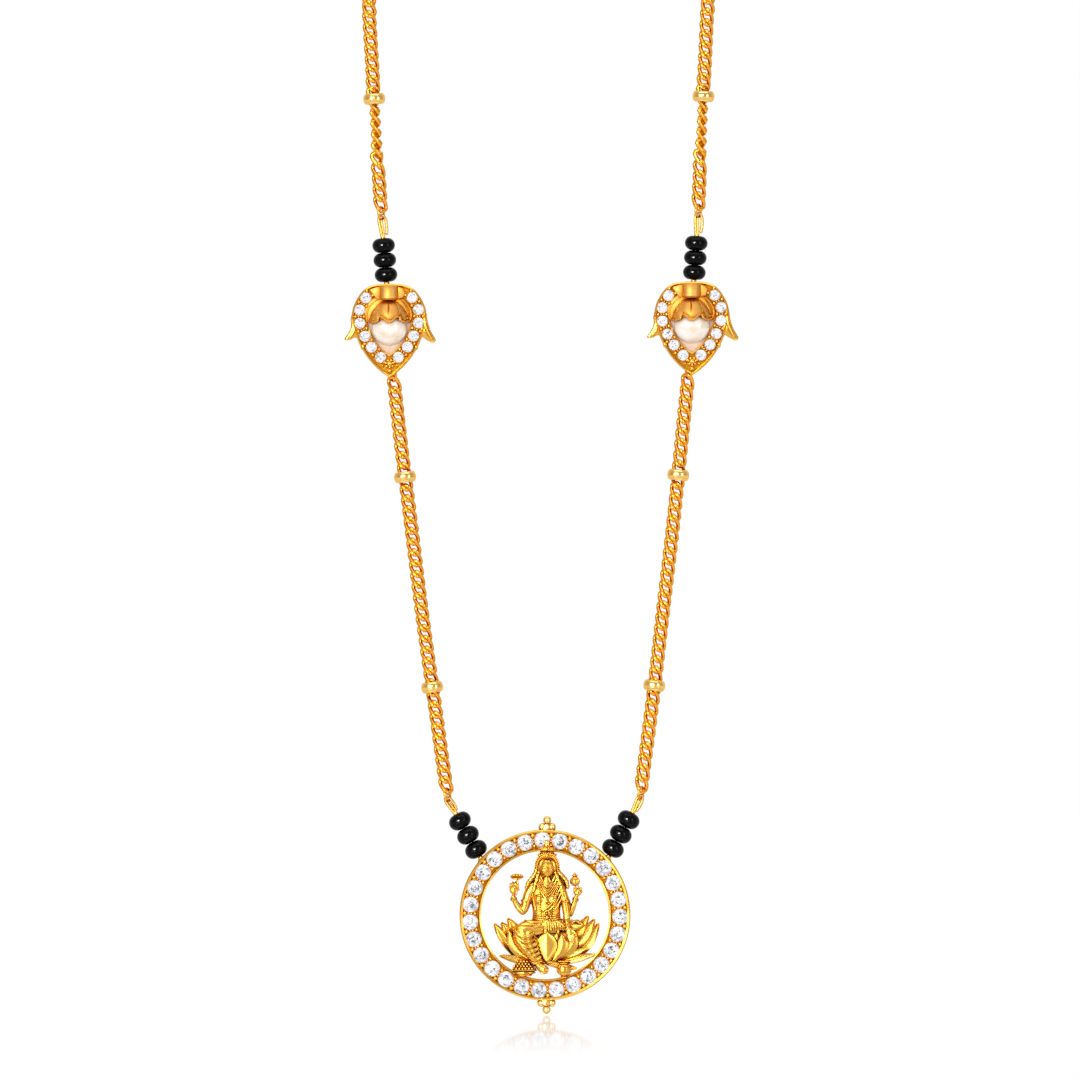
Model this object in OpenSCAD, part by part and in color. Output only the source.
// Mangalsutra: a gold-plated curb chain with small gold balls, black glass beads,
// two lotus-bud stations with pearls, and a round pendant with a seated goddess.
// Millimetres, +Z up, front towards -Y. The origin is the middle of the round bar
// that the closed loop hangs over, and the two strands lie in the plane Y = 0.

/* [Chain] */
// Real curb links in each strand below a station
lower_links = 38; // [37:1:39]
// Real curb links in each strand above a station
upper_links = 18; // [16:1:18]
// Wire thickness of the curb links
link_wire = 0.4; // [0.34:0.02:0.4]
// Half the length of a link, along its wire centre
link_half_length = 0.98; // [0.96:0.01:1.0]
// Half the width of a link, along its wire centre
link_half_width = 0.58; // [0.54:0.02:0.6]
// How far each side of a link is twisted out of the flat
link_twist = 0.38; // [0.36:0.01:0.4]
// Diameter of the plain chain over the bar
plain_chain_d = 1.5; // [1.4:0.05:1.5]
// Diameter of the small gold balls on the chain
ball_d = 2.75; // [2.6:0.05:2.9]
// Height of a gold ball along the chain
ball_h = 1.35; // [1.2:0.05:1.5]
// Bore of a gold ball
ball_bore = 1.85; // [1.8:0.05:1.9]

/* [Black beads] */
// Diameter of a black glass bead
bead_d = 2.86; // [2.7:0.02:2.9]
// Height of a bead above a station
upper_bead_h = 1.74; // [1.6:0.02:1.74]
// Height of a bead above the pendant
lower_bead_h = 1.9; // [1.7:0.02:1.92]
// Bore of a bead
bead_bore = 0.7; // [0.62:0.02:0.8]
// Wire thickness of the stem inside the beads
stem_wire = 0.42; // [0.38:0.01:0.42]

/* [Stations] */
// Diameter of the pearl
pearl_d = 4.2; // [3.9:0.1:4.2]
// Width across the corners of a station stone
station_stone_d = 1.24; // [1.1:0.02:1.26]
// Thickness of the station's front plate
station_plate = 0.7; // [0.6:0.05:0.8]

/* [Pendant] */
// Outer diameter of the stone ring
ring_outer_d = 21.1; // [21.0:0.05:21.2]
// Inner diameter of the stone ring
ring_inner_d = 16; // [15.8:0.1:16.2]
// Number of stones in the ring
ring_stones = 27; // [27:1:27]
// Width across the corners of a ring stone
ring_stone_d = 1.86; // [1.7:0.02:1.88]
// Diameter of the balls in the clusters at top and bottom
cluster_ball_d = 1.05; // [0.95:0.05:1.1]

/* [Hidden] */

$fn = 40;
GOLD = [0.93, 0.66, 0.2];
GLASS_BLACK = [0.06, 0.06, 0.07];
PEARL = [0.95, 0.92, 0.86];
STONE = [0.88, 0.93, 0.98];

// Round wire parts shared by pins, lugs and end rings
ring_wire_r = 0.18;
end_ring_r = 0.78;
end_wire_r = 0.16;
end_ring_turn = 65;
ring_to_loop = 0.76;
ring_to_link = 1.23;
eye_r = 0.5;
lug_r = 0.52;
lug_wire_r = 0.16;

// Hidden stretch of one strand: from the clasp over the bar and down behind the view.
// Each row is x and z of a ring of the plain chain.
BAR_ROUTE = [
    [3.9, 23.7], [7.6, 22.8], [11.0, 21.3], [14.2, 19.3], [17.0, 16.9],
    [19.5, 14.0], [21.4, 10.8], [22.8, 7.4], [23.7, 3.7], [24.0, 0],
    [23.9, -3.75], [23.8, -7.5], [23.7, -11.25], [23.6, -15], [23.5, -18.75],
    [23.4, -22.5], [23.3, -26.25], [23.2, -30], [23.0, -33.75], [22.9, -37.5],
    [22.7, -41.25], [22.6, -45], [22.4, -48.75], [22.2, -52.5], [22.0, -56.25],
    [21.9, -60], [21.7, -63.75], [21.5, -67.5], [21.3, -71.25], [21.1, -75]
];
// Rings of the hidden stretch that carry a gold ball, seven rings apart
BAR_BALLS = [4, 11, 18, 25];
// Where a gold ball sits on the real links: distance down the strand, upper and lower
UPPER_BALLS = [-86.2];
LOWER_BALLS = [12.5, 38.8];

// Station: middle of the frame, on the strand
station_x = 18.9;
station_z = -115.2;
// Bead axis above a station: middle of its lug and lean from upright
upper_lug = [19.11, -110.4];
upper_lean = 4.2;
upper_bead_pitch = 1.84;
upper_first_bead = 2.2;
upper_loop = 9.15;

// Pendant: middle of the ring
pendant_z = -188.36;
ring_y = -0.6;
// Bead axis above the pendant: middle of its lug and lean from upright
lower_lug = [7.42, pendant_z + 6.2];
lower_lean = 29.1;
lower_bead_pitch = 2.04;
lower_first_bead = 2.34;
lower_loop = 9.35;

// A point of the strand in the plane Y = 0, a distance s along an axis that leans out
function along(start, lean, s) = [start[0] + s * sin(lean), start[1] + s * cos(lean)];

// Upper strand: a straight line up from the end ring at the station pin
upper_ring = along(along(upper_lug, upper_lean, upper_loop), 3, ring_to_loop);
upper_first = along(upper_ring, 3, ring_to_link);
upper_top = [21.1, -76.3];
function upper_place(t) = upper_first + t * (upper_top - upper_first);
upper_strand_lean = atan((upper_top[0] - upper_first[0]) / (upper_top[1] - upper_first[1]));

// Lower strand: leans in more and more on its way down to the pendant pin
strand_top = [18.43, -121];
strand_lean = 0.104;
strand_bow = 0.00034;
function lower_place(s) = [
    strand_top[0] - strand_lean * s - strand_bow * s * s,
    strand_top[1] - s
];
function lower_angle(s) = atan(strand_lean + 2 * strand_bow * s);
first_link = 0.95;
last_link = 51.04;
lower_step = (last_link - first_link) / (lower_links - 1);
lower_ring = along(along(lower_lug, lower_lean, lower_loop), 10, ring_to_loop);
station_ring = along(lower_place(first_link), lower_angle(first_link), ring_to_link);
station_foot = along(station_ring, 2, ring_to_loop);

// Curb link: wire centre at angle t, and the two directions across the wire
function unit(v) = v / norm(v);
function curb_centre(t) = [
    link_half_width * sin(t), link_twist * sin(2 * t), link_half_length * cos(t)];
function curb_along(t) = unit([
    link_half_width * cos(t), 2 * link_twist * cos(2 * t), -link_half_length * sin(t)]);
function curb_out(t) = unit(curb_centre(t) - (curb_centre(t) * curb_along(t)) * curb_along(t));
LINK_STEPS = 10;
LINK_SIDES = 5;

// Two triangles for each square of a closed grid of rings
function grid_faces(rings, sides, closed) = [
    for (i = [0:rings - (closed ? 1 : 2)], j = [0:sides - 1])
        let (a = i * sides + j, b = i * sides + (j + 1) % sides,
            c = ((i + 1) % rings) * sides + j, d = ((i + 1) % rings) * sides + (j + 1) % sides)
        each [[a, d, b], [a, c, d]]
];

// Points of an arc from p to q that bulges to the left of the way by sag
function arc(p, q, sag, n) =
    let (
        chord = q - p,
        half = norm(chord) / 2,
        side = [-chord[1], chord[0]] / (2 * half),
        rad = (half * half + sag * sag) / (2 * abs(sag)),
        turn = 2 * asin(min(1, half / rad)),
        middle = (p + q) / 2 + side * (sag > 0 ? sag - rad : sag + rad)
    )
    [for (i = [0:n])
        let (a = (sag > 0 ? 1 : -1) * turn * (0.5 - i / n), v = side * (sag > 0 ? rad : -rad))
        middle + [v[0] * cos(a) - v[1] * sin(a), v[0] * sin(a) + v[1] * cos(a)]];

// Front view outlines are drawn in x and z and stand between two depths
module upright(front, back) {
    translate([0, back, 0]) rotate([90, 0, 0]) linear_extrude(back - front) children();
}

module both_halves() {
    children();
    mirror([1, 0, 0]) children();
}

// Round wire ring that lies in the plane of the strands
module wire_ring(r, wire_r) {
    rotate([90, 0, 0]) rotate_extrude() translate([r, 0]) circle(wire_r);
}

// Places a child at a point of the strand plane, leaning out from upright
module on_strand(point, lean) {
    translate([point[0], 0, point[1]]) rotate([0, lean, 0]) children();
}

// Cut stone: octagonal table, eight crown facets, girdle and eight pavilion facets.
// Its girdle lies on the origin and its table faces the front.
module cut_stone(d) {
    flat = d / 2 * cos(22.5);
    table = 0.56 * flat;
    culet = 0.06 * flat;
    girdle = 0.06;
    crown = 0.3 * flat;
    pavilion = 0.62 * flat;
    rotate([90, 0, 0]) intersection_for(turn = [0:45:135]) {
        rotate([0, 0, turn]) rotate([90, 0, 0]) linear_extrude(2 * d, center = true) polygon([
            [-flat, 0], [-culet, -pavilion], [culet, -pavilion], [flat, 0],
            [flat, girdle], [table, girdle + crown], [-table, girdle + crown], [-flat, girdle]
        ]);
    }
}

// Hole that holds a cut stone with a small gap, open to the front
module stone_seat(d, gap) {
    r = d / 2 + gap;
    rotate([90, 0, 0]) rotate_extrude() polygon([
        [0, -0.62 * d / 2 - gap], [0.2 * r, -0.62 * d / 2 - gap], [r, -gap], [r, d], [0, d]
    ]);
}

// Chain pieces

module curb_link() {
    points = [
        for (i = [0:LINK_STEPS - 1], j = [0:LINK_SIDES - 1])
            let (t = 360 * i / LINK_STEPS, a = 360 * j / LINK_SIDES, out = curb_out(t))
            curb_centre(t) + link_wire / 2 * (cos(a) * out + sin(a) * cross(curb_along(t), out))
    ];
    polyhedron(points, grid_faces(LINK_STEPS, LINK_SIDES, true));
}

module end_ring(turn) {
    rotate([0, 0, turn]) wire_ring(end_ring_r, end_wire_r);
}

// Plain round chain over the bar, an eight-sided tube through the route's points
module bar_chain() {
    sides = 8;
    last = len(BAR_ROUTE) - 1;
    points = [
        for (i = [0:last], j = [0:sides - 1])
            let (
                way = unit(BAR_ROUTE[min(i + 1, last)] - BAR_ROUTE[max(i - 1, 0)]),
                out = [way[1], -way[0]] * plain_chain_d / 2 * cos(360 * j / sides)
            )
            [BAR_ROUTE[i][0] + out[0], plain_chain_d / 2 * sin(360 * j / sides), BAR_ROUTE[i][1] + out[1]]
    ];
    color(GOLD) polyhedron(points, concat(
        grid_faces(last + 1, sides, false),
        [[for (j = [0:sides - 1]) j]],
        [[for (j = [sides - 1:-1:0]) last * sides + j]]
    ));
}

module upper_chain() {
    color(GOLD) {
        for (i = [0:upper_links - 1])
            on_strand(upper_place(i / (upper_links - 1)), upper_strand_lean) curb_link();
        on_strand(upper_ring, 3) end_ring(end_ring_turn);
    }
}

module lower_chain() {
    color(GOLD) {
        on_strand(station_ring, 3) end_ring(-end_ring_turn);
        for (i = [0:lower_links - 1])
            on_strand(lower_place(first_link + i * lower_step), lower_angle(first_link + i * lower_step))
                curb_link();
        on_strand(lower_ring, 10) end_ring(end_ring_turn);
    }
}

// Rounded gold ball, bored for the chain
module gold_ball() {
    round_r = ball_h / 2;
    color(GOLD) difference() {
        rotate_extrude() {
            translate([ball_d / 2 - round_r, 0]) circle(round_r);
            translate([0.2, -round_r]) square([ball_d / 2 - round_r - 0.2, ball_h]);
        }
        cylinder(h = 2 * ball_h, d = ball_bore, center = true);
    }
}

module ball_row() {
    for (i = BAR_BALLS)
        on_strand(BAR_ROUTE[i],
            atan2(BAR_ROUTE[i + 1][0] - BAR_ROUTE[i - 1][0], BAR_ROUTE[i + 1][1] - BAR_ROUTE[i - 1][1]))
            gold_ball();
    for (z = UPPER_BALLS)
        on_strand(upper_place((z - upper_first[1]) / (upper_top[1] - upper_first[1])), upper_strand_lean)
            gold_ball();
    for (s = LOWER_BALLS) on_strand(lower_place(s), lower_angle(s)) gold_ball();
}

// One plain barrel at the top of the loop, hollow at both ends for the chain
module clasp() {
    length = 9;
    barrel_d = 3.2;
    mouth_d = 2.3;
    mouth = 1.2;
    color(GOLD) translate([0, 0, 23.8]) rotate([0, 90, 0]) rotate_extrude() polygon(concat(
        [[0, mouth - length / 2], [mouth_d / 2, mouth - length / 2], [mouth_d / 2, -length / 2]],
        arc([mouth_d / 2 + 0.1, -length / 2], [barrel_d / 2, 0.5 - length / 2], -0.1, 4),
        arc([barrel_d / 2, length / 2 - 0.5], [mouth_d / 2 + 0.1, length / 2], -0.1, 4),
        [[mouth_d / 2, length / 2], [mouth_d / 2, length / 2 - mouth], [0, length / 2 - mouth]]
    ));
}

// Bead pins and black beads, drawn upright from the middle of the lug that they hang in

module bead_pin(loop_at, loop_from) {
    leg = loop_at - loop_from;
    color(GOLD) {
        translate([0, 0, eye_r]) wire_ring(eye_r, ring_wire_r);
        translate([0, 0, 2 * eye_r]) cylinder(h = loop_from - 3 * eye_r, d = stem_wire);
        for (x = [-eye_r, eye_r]) translate([x, 0, loop_from]) cylinder(h = leg, r = ring_wire_r);
        translate([0, 0, loop_at]) rotate([90, 0, 0])
            rotate_extrude(angle = 180) translate([eye_r, 0]) circle(ring_wire_r);
        translate([0, 0, loop_from]) rotate([90, 180, 0])
            rotate_extrude(angle = 180) translate([eye_r, 0]) circle(ring_wire_r);
    }
}

module upper_pin() {
    on_strand(upper_lug, upper_lean)
        bead_pin(upper_loop, upper_first_bead + 2.5 * upper_bead_pitch + 0.75);
}

module lower_pin() {
    on_strand(lower_lug, lower_lean)
        bead_pin(lower_loop, lower_first_bead + 2.5 * lower_bead_pitch + 0.7);
}

// Rounded glass bead with flat ends at its bore
module black_bead(h) {
    color(GLASS_BLACK) rotate_extrude() intersection() {
        union() {
            translate([bead_d / 2 - h / 2, 0]) circle(h / 2);
            translate([0, -h / 2]) square([bead_d / 2 - h / 2, h]);
        }
        translate([bead_bore / 2, -h]) square([bead_d, 2 * h]);
    }
}

module upper_bead(i) {
    on_strand(along(upper_lug, upper_lean, upper_first_bead + i * upper_bead_pitch), upper_lean)
        black_bead(upper_bead_h);
}

module lower_bead(i) {
    on_strand(along(lower_lug, lower_lean, lower_first_bead + i * lower_bead_pitch), lower_lean)
        black_bead(lower_bead_h);
}

// Wire lug for a bead pin: stands across the pin's eye
module pin_lug() {
    rotate([0, 90, 0]) rotate_extrude() translate([lug_r, 0]) circle(lug_wire_r);
}

// Station, drawn round the middle of its frame

plate_front = -1.7;
pearl_y = -1;
pearl_z = 0.3;
cap_gap = 0.12;
cap_wall = 0.4;
stone_gap = 0.11;
// Right half of the stone row, from the top: x and z of each stone
STATION_STONES = [[2.89, 4.1], [3.68, 2.6], [3.67, 0.93], [3.04, -0.69], [2.25, -2.06], [1.11, -3.34]];

module station_outline() {
    half = concat(
        arc([-0.1, 5.7], [4.5, 1.9], 1.4, 12),
        arc([4.5, 1.9], [3.3, -2.2], 0.35, 6),
        arc([3.3, -2.2], [-0.1, -5.7], 0.12, 4)
    );
    polygon(half);
    mirror([1, 0]) polygon(half);
}

module station_opening() {
    half = concat(
        arc([-0.1, 3.9], [2.45, 2.4], 0.5, 5),
        arc([2.45, 0.4], [0, -3.2], 0.36, 6),
        [[-0.1, -3.1]]
    );
    polygon(half);
    mirror([1, 0]) polygon(half);
}

// Thin floor that closes the opening round the pearl
module station_floor() {
    upright(plate_front + 0.4, plate_front + 0.6) difference() {
        scale([1.1, 1.08]) station_opening();
        translate([0, pearl_z]) circle(pearl_d / 2 + cap_gap);
    }
}

module wing() {
    polygon(concat(
        arc([3.9, 3.9], [5.65, -1.05], -0.45, 8),
        arc([5.45, -1.25], [3.4, -0.9], 0.25, 4)
    ));
}

// Edge of the three-petal cap over the pearl
module cap_outline() {
    half = concat([[-0.1, 4], [-0.1, 1.2]], arc([0, 0.95], [1.35, 1.5], -0.12, 3),
        arc([1.35, 1.35], [2.9, 1.3], -0.25, 4), [[2.9, 4]]);
    polygon(half);
    mirror([1, 0]) polygon(half);
}

// Small grains that hold the stones, two between each pair of neighbours
module station_grains() {
    for (i = [0:len(STATION_STONES) - 2]) {
        gap = STATION_STONES[i + 1] - STATION_STONES[i];
        middle = (STATION_STONES[i] + STATION_STONES[i + 1]) / 2;
        across = [-gap[1], gap[0]] / norm(gap);
        for (reach = [-0.52, 0.52])
            translate([middle[0] + reach * across[0], plate_front, middle[1] + reach * across[1]])
                sphere(0.21);
    }
}

module pearl_cap() {
    intersection() {
        difference() {
            translate([0, pearl_y, pearl_z]) sphere(pearl_d / 2 + cap_gap + cap_wall);
            translate([0, pearl_y, pearl_z]) sphere(pearl_d / 2 + cap_gap);
        }
        upright(-4, 3) cap_outline();
    }
    // Peg that the pearl is pushed on
    translate([0, pearl_y, pearl_z + 0.6]) cylinder(h = pearl_d / 2, d = 0.7);
    // Calyx between the cap and the top of the frame
    translate([0, -1.75, pearl_z + 2.35]) cylinder(h = 2.95, r1 = 1.15, r2 = 0.95);
}

module station(side) {
    color(GOLD) translate([side * station_x, 0, station_z]) {
        difference() {
            union() {
                upright(plate_front, plate_front + station_plate) difference() {
                    station_outline();
                    station_opening();
                }
                station_floor();
                both_halves() {
                    station_grains();
                    translate([3.3, plate_front + 0.35, -1.95]) sphere(0.34);
                    upright(plate_front + 0.3, plate_front + 0.85) wing();
                }
                // Grains at the foot of the frame
                for (grain = [[0, -4.2, 0.42], [-0.42, -4.0, 0.25], [0.42, -4.0, 0.25], [0, -4.8, 0.3]])
                    translate([grain[0], plate_front, grain[1]]) sphere(grain[2]);
                // Rib behind the top that carries the lug of the bead pin
                translate([-0.9, plate_front + 0.3, 3.9]) cube([1.8, 1.05, 1.5]);
                pearl_cap();
                translate([side * (upper_lug[0] - station_x), 0, upper_lug[1] - station_z])
                    rotate([0, side * upper_lean, 0]) pin_lug();
                // Foot lug for the lower chain, on a neck behind the tip
                translate([side * (station_foot[0] - station_x), 0, station_foot[1] - station_z]) {
                    wire_ring(lug_r, lug_wire_r);
                    translate([0, -0.6, lug_r + 0.25]) cube([0.7, 1.5, 0.8], center = true);
                }
            }
            both_halves() for (stone = STATION_STONES)
                translate([stone[0], plate_front + 0.12, stone[1]]) stone_seat(station_stone_d, stone_gap);
            translate([0, pearl_y, pearl_z]) intersection() {
                sphere(pearl_d / 2 + cap_gap);
                translate([-3, -3, -3]) cube([6, 6, 3.2]);
            }
        }
    }
}

module station_stone_row(side) {
    color(STONE) translate([side * station_x, plate_front + 0.12, station_z])
        both_halves() for (stone = STATION_STONES)
            translate([stone[0], 0, stone[1]]) cut_stone(station_stone_d);
}

// Pearl with a blind hole from the top for its peg
module pearl(side) {
    color(PEARL) translate([side * station_x, pearl_y, station_z + pearl_z]) difference() {
        sphere(pearl_d / 2);
        translate([0, 0, 0.5]) cylinder(h = pearl_d, d = 0.9);
    }
}

// Pendant, drawn round the middle of its ring with the ring's middle depth at Y = 0

stone_circle_r = 9.4;
first_stone = -1.6;
ring_front = -0.7;
ring_back = 0.8;
stone_seat_y = ring_front - 0.02;
function stone_angle(i) = first_stone + i * 360 / ring_stones;

// Places a child at an angle from the top of the ring
module round_ring(angle, r) {
    rotate([0, angle, 0]) translate([0, 0, r]) children();
}

module ring_body() {
    outer = ring_outer_d / 2;
    inner = ring_inner_d / 2;
    rim = 0.17;
    rotate([90, 0, 0]) rotate_extrude($fn = 90) {
        translate([inner + 0.1, -ring_back]) square([outer - inner - 0.22, ring_back - ring_front]);
        translate([outer - rim, -ring_front]) circle(rim);
        translate([inner + rim, -ring_front]) circle(rim);
        translate([outer - 0.3, -ring_back + 0.3]) circle(0.3);
    }
}

module ring_with_seats() {
    difference() {
        union() {
            ring_body();
            for (i = [0:ring_stones - 1], r = [stone_circle_r - 0.72, stone_circle_r + 0.66])
                round_ring(stone_angle(i + 0.5), r) translate([0, ring_front, 0]) sphere(0.26);
        }
        for (i = [0:ring_stones - 1])
            round_ring(stone_angle(i), stone_circle_r) translate([0, stone_seat_y, 0])
                stone_seat(ring_stone_d, stone_gap);
        // Notches in the back for the pin eyes
        both_halves() translate([lower_lug[0], 0, lower_lug[1] - pendant_z]) rotate([0, lower_lean, 0])
            translate([-0.85, 0.05, -0.33]) cube([1.7, 2, 3]);
    }
}

module clusters() {
    r = cluster_ball_d / 2;
    base = ring_outer_d / 2 + r - 0.08;
    // Turn of the cluster, half the way between its pair, rise of the third ball
    for (row = [[0, 0.58, 0.92], [180, 0.68, 0.86]]) rotate([0, row[0], 0]) {
        for (x = [-row[1], row[1]]) translate([x, 0, base]) sphere(r);
        translate([0, 0, base + row[2]]) sphere(r);
        // Stem that joins the three balls to the ring
        translate([0, 0, base - r - 0.1]) cylinder(h = r + 1.02, r = 0.4);
    }
}

// Round limb between two points with knuckles a little thicker than its ends
module limb(p, q, r1, r2) {
    way = q - p;
    length = norm(way);
    translate(p) rotate([0, acos(way[2] / length), atan2(way[1], way[0])])
        cylinder(h = length, r1 = r1, r2 = r2);
    translate(p) sphere(1.04 * r1);
    translate(q) sphere(1.05 * r2);
}

// Petal between two points: both edges bulge to the left of the way from base to tip
module petal(base, tip, outer_sag, inner_sag, front, back) {
    middle = (base + tip) / 2;
    length = norm(tip - base);
    dome = length * 0.9;
    intersection() {
        upright(front - 0.5, back) polygon(concat(
            arc(base, tip, outer_sag, 8),
            arc(tip, base, -inner_sag, 8)
        ));
        translate([middle[0], front + dome, middle[1]]) sphere(dome);
    }
}

module lotus() {
    base = [0.2, -5.6];
    // Back row: tip x, tip z, outer and inner bulge, front depth
    back_row = [
        [-6.3, -1.1, 1.75, 0.55, -0.75], [-5.3, -1.0, 1.3, 0.2, -0.9], [-4.5, -0.5, 0.8, -0.3, -1.0]
    ];
    for (row = back_row) {
        petal(base, [row[0], row[1]], row[2], row[3], row[4], 0.25);
        petal(base, [0.3 - row[0], row[1]], -row[3], -row[2], row[4], 0.25);
    }
    // Middle and right front petals
    petal([0.2, -5.75], [0.2, -1.9], 1.35, -1.35, -2.1, -0.6);
    petal([0.6, -5.6], [3.1, -1.9], 0.5, -1.5, -1.8, -0.5);
    petal([0.8, -5.5], [5.0, -1.7], -0.1, -1.6, -1.4, -0.3);
    // Flat leaves under the flower
    petal([0.4, -5.5], [-5.65, -5.0], 0.75, -0.35, -0.9, 0.2);
    petal([0.4, -5.5], [6.1, -4.95], 0.35, -0.75, -0.9, 0.2);
    petal([0.3, -5.6], [3.9, -6.7], 0.3, -0.6, -1.1, 0.1);
    // Receptacle that the petals grow from
    upright(-1.5, 0.3) translate([0.2, -4.5]) circle(1.3);
}

module torso_outline() {
    polygon(concat(
        arc([-1.0, 4.2], [-2.25, 3.2], -0.25, 3),
        arc([-1.75, 1.6], [-1.35, 0.1], -0.1, 3),
        [[-1.7, -1.3], [2.3, -1.3]],
        arc([1.95, 0.1], [2.35, 1.6], -0.1, 3),
        arc([2.85, 3.2], [1.6, 4.2], -0.25, 3)
    ));
}

module figure() {
    x = 0.3;
    // Torso with a rounded front, bust and belt
    intersection() {
        upright(-2.5, 0) torso_outline();
        translate([x, 1.1, -2]) cylinder(h = 8, r = 2.9);
    }
    for (side = [-1, 1]) translate([x + side * 0.8, -1.15, 2.1]) sphere(0.85);
    translate([x, -0.9, -0.35]) intersection() {
        cylinder(h = 0.7, r = 1.78);
        translate([-2, -1.6, 0]) cube([4, 2.2, 1]);
    }
    translate([x, -1.75, -0.15]) sphere(0.75);
    // Neck, head, hair and tiered crown
    translate([x, -0.85, 3.7]) cylinder(h = 1.6, r = 0.55);
    translate([x, -1.1, 5.95]) sphere(1.08);
    translate([x, -1.25, 5.25]) sphere(0.62);
    translate([x, -0.5, 6.15]) sphere(1.36);
    translate([x, -0.62, 7.3]) cylinder(h = 0.55, r1 = 1.0, r2 = 0.85);
    translate([x, -0.62, 7.8]) cylinder(h = 0.52, r1 = 0.8, r2 = 1.12);
    translate([x, -1.48, 8.1]) cylinder(h = 0.95, r1 = 0.27, r2 = 0.22);
    translate([x, -1.5, 9.02]) sphere(0.27);
    limb([-0.8, -0.5, 5.6], [-2.1, -0.5, 3.7], 0.45, 0.3);
    limb([1.4, -0.5, 5.6], [2.75, -0.5, 3.7], 0.45, 0.3);
    // Left arm with the lotus disc
    limb([-1.85, -0.9, 3.0], [-2.8, -0.9, 0.45], 0.58, 0.5);
    limb([-2.8, -0.9, 0.45], [-3.85, -1.0, 2.5], 0.46, 0.32);
    limb([-3.85, -1.0, 2.7], [-3.75, -1.0, 3.6], 0.36, 0.5);
    translate([-3.9, -1.0, 2.25]) cylinder(h = 0.3, r = 0.52);
    translate([-3.45, -1.0, 3.7]) cylinder(h = 1.0, r = 0.16);
    translate([-3.45, -1.0, 4.52]) cylinder(h = 0.34, r1 = 0.4, r2 = 0.85);
    // Right front arm, giving hand
    limb([2.5, -1.0, 3.0], [2.65, -1.2, 0.2], 0.55, 0.46);
    limb([2.65, -1.2, 0.2], [3.0, -1.9, -1.6], 0.44, 0.32);
    limb([3.05, -1.95, -1.9], [3.4, -2.0, -3.0], 0.42, 0.22);
    translate([2.6, -1.05, 1.65]) cylinder(h = 0.3, r = 0.66);
    // Right back arm with the bud pot
    limb([2.5, -0.5, 0.9], [3.7, -0.5, 2.1], 0.42, 0.34);
    limb([3.7, -0.55, 2.1], [4.15, -0.6, 3.1], 0.34, 0.42);
    translate([3.7, -0.5, 1.85]) cylinder(h = 0.3, r = 0.5);
    translate([3.75, -0.6, 4.1]) sphere(0.64);
    translate([3.75, -0.6, 4.5]) cylinder(h = 0.55, r1 = 0.3, r2 = 0.15);
    // Draped legs: left one bent down to the foot, right one folded in
    limb([0.0, -0.9, -1.3], [-3.0, -1.1, -1.9], 0.95, 1.0);
    limb([-2.75, -1.2, -2.2], [-1.1, -1.5, -5.9], 1.12, 0.55);
    limb([-1.0, -1.45, -6.2], [-0.2, -1.3, -7.2], 0.42, 0.34);
    limb([0.6, -0.9, -1.3], [3.6, -0.9, -1.3], 0.9, 0.72);
}

// Dish with a heap of coins beside the foot
module coin_dish() {
    translate([-2.75, -0.75, 0]) {
        translate([0, 0, -7.55]) cylinder(h = 0.5, r1 = 0.6, r2 = 0.9);
        translate([0, 0, -7.15]) cylinder(h = 0.5, r1 = 1.1, r2 = 1.55);
        translate([0, 0, -6.7]) cylinder(h = 0.9, r1 = 1.35, r2 = 0.85);
    }
}

module water_pot() {
    translate([2.4, -0.75, 0]) {
        translate([0, 0, -7.6]) cylinder(h = 0.4, r = 0.5);
        translate([0, 0, -6.75]) sphere(0.95);
        translate([0, 0, -6.1]) cylinder(h = 0.7, r1 = 0.4, r2 = 0.62);
    }
}

module pendant() {
    color(GOLD) translate([0, 0, pendant_z]) {
        translate([0, ring_y, 0]) {
            ring_with_seats();
            clusters();
            lotus();
            figure();
            coin_dish();
            water_pot();
        }
        both_halves() translate([lower_lug[0], 0, lower_lug[1] - pendant_z])
            rotate([0, lower_lean, 0]) pin_lug();
    }
}

module ring_stone(i) {
    color(STONE) translate([0, ring_y, pendant_z])
        round_ring(stone_angle(i), stone_circle_r) translate([0, stone_seat_y, 0])
            cut_stone(ring_stone_d);
}

pendant();
for (i = [0:ring_stones - 1])
    ring_stone(i);

for (side = [-1, 1]) {
    name = side < 0 ? "left" : "right";
    flip = side < 0 ? 1 : 0;
    for (i = [0:2]) {
        mirror([flip, 0, 0]) upper_bead(i);
        mirror([flip, 0, 0]) lower_bead(i);
    }
    mirror([flip, 0, 0]) upper_pin();
    mirror([flip, 0, 0]) lower_pin();
    station(side);
    pearl(side);
    station_stone_row(side);
    mirror([flip, 0, 0]) bar_chain();
    mirror([flip, 0, 0]) upper_chain();
    mirror([flip, 0, 0]) lower_chain();
    mirror([flip, 0, 0]) ball_row();
}
clasp();
